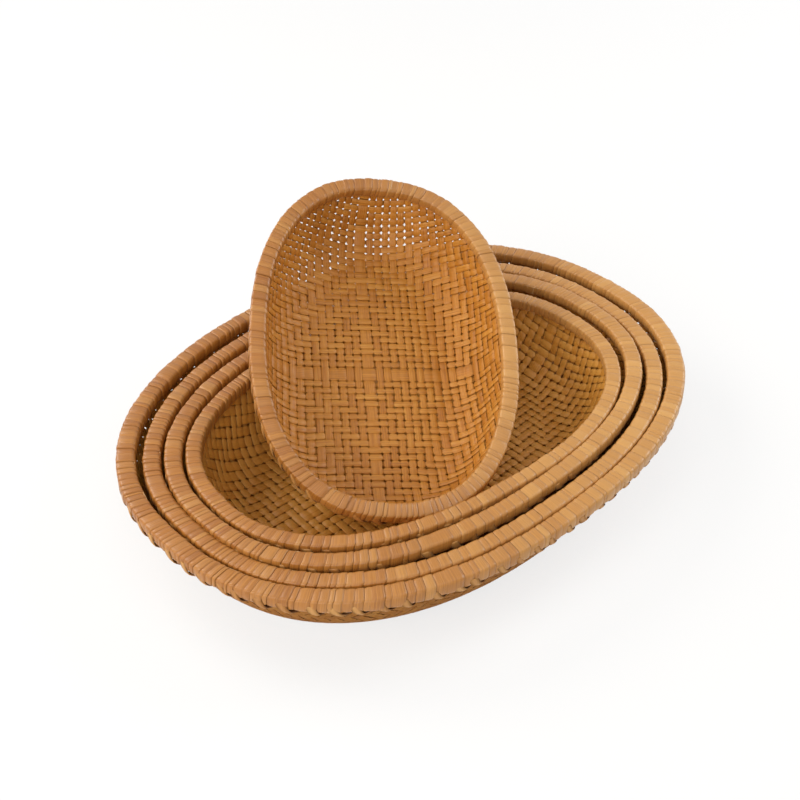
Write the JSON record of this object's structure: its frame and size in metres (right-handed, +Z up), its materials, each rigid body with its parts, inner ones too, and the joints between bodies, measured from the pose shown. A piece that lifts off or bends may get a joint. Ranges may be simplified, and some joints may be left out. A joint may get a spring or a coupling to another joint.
{
  "type": "nesting oval basket set",
  "caption": "Shallow oval trays of twill-woven split bamboo with wrapped hoop rims, nested in one another with the smallest leaning on top.",
  "frame": {"origin": "middle of the flat underside of the largest basket's floor, on the surface that the set stands on", "axes": "+X along the largest basket's long axis, +Y along its short axis, +Z up out of the baskets"},
  "size_m": [0.4, 0.3048, 0.1345],
  "materials": {
    "woven_strip": "satin split bamboo strip, honey tan, woven in twill",
    "hoop_bamboo": "plain split bamboo, pale straw",
    "binding_strip": "satin bamboo skin strip, tan with faint lengthwise fibres"
  },
  "bodies": {
    "largest_basket": {"largest_woven_body": "woven_strip", "largest_inner_hoop": "hoop_bamboo", "largest_outer_hoop": "hoop_bamboo", "largest_rim_binding": "binding_strip"},
    "large_basket": {"large_woven_body": "woven_strip", "large_inner_hoop": "hoop_bamboo", "large_outer_hoop": "hoop_bamboo", "large_rim_binding": "binding_strip"},
    "medium_basket": {"medium_woven_body": "woven_strip", "medium_inner_hoop": "hoop_bamboo", "medium_outer_hoop": "hoop_bamboo", "medium_rim_binding": "binding_strip"},
    "small_basket": {"small_woven_body": "woven_strip", "small_inner_hoop": "hoop_bamboo", "small_outer_hoop": "hoop_bamboo", "small_rim_binding": "binding_strip"},
    "smallest_basket": {"smallest_woven_body": "woven_strip", "smallest_inner_hoop": "hoop_bamboo", "smallest_outer_hoop": "hoop_bamboo", "smallest_rim_binding": "binding_strip"}
  },
  "joints": [
    {"name": "large_lift_out", "type": "slide", "parent": "largest_basket", "child": "large_basket", "axis": [0, 0, 1], "range_m": [0, 0.055]},
    {"name": "medium_lift_out", "type": "slide", "parent": "large_basket", "child": "medium_basket", "axis": [0, 0, 1], "range_m": [0, 0.055]},
    {"name": "small_lift_out", "type": "slide", "parent": "medium_basket", "child": "small_basket", "axis": [0, 0, 1], "range_m": [0, 0.055]},
    {"name": "smallest_lift_out", "type": "slide", "parent": "small_basket", "child": "smallest_basket", "axis": [0, 0, 1], "range_m": [0, 0.055]}
  ]
}
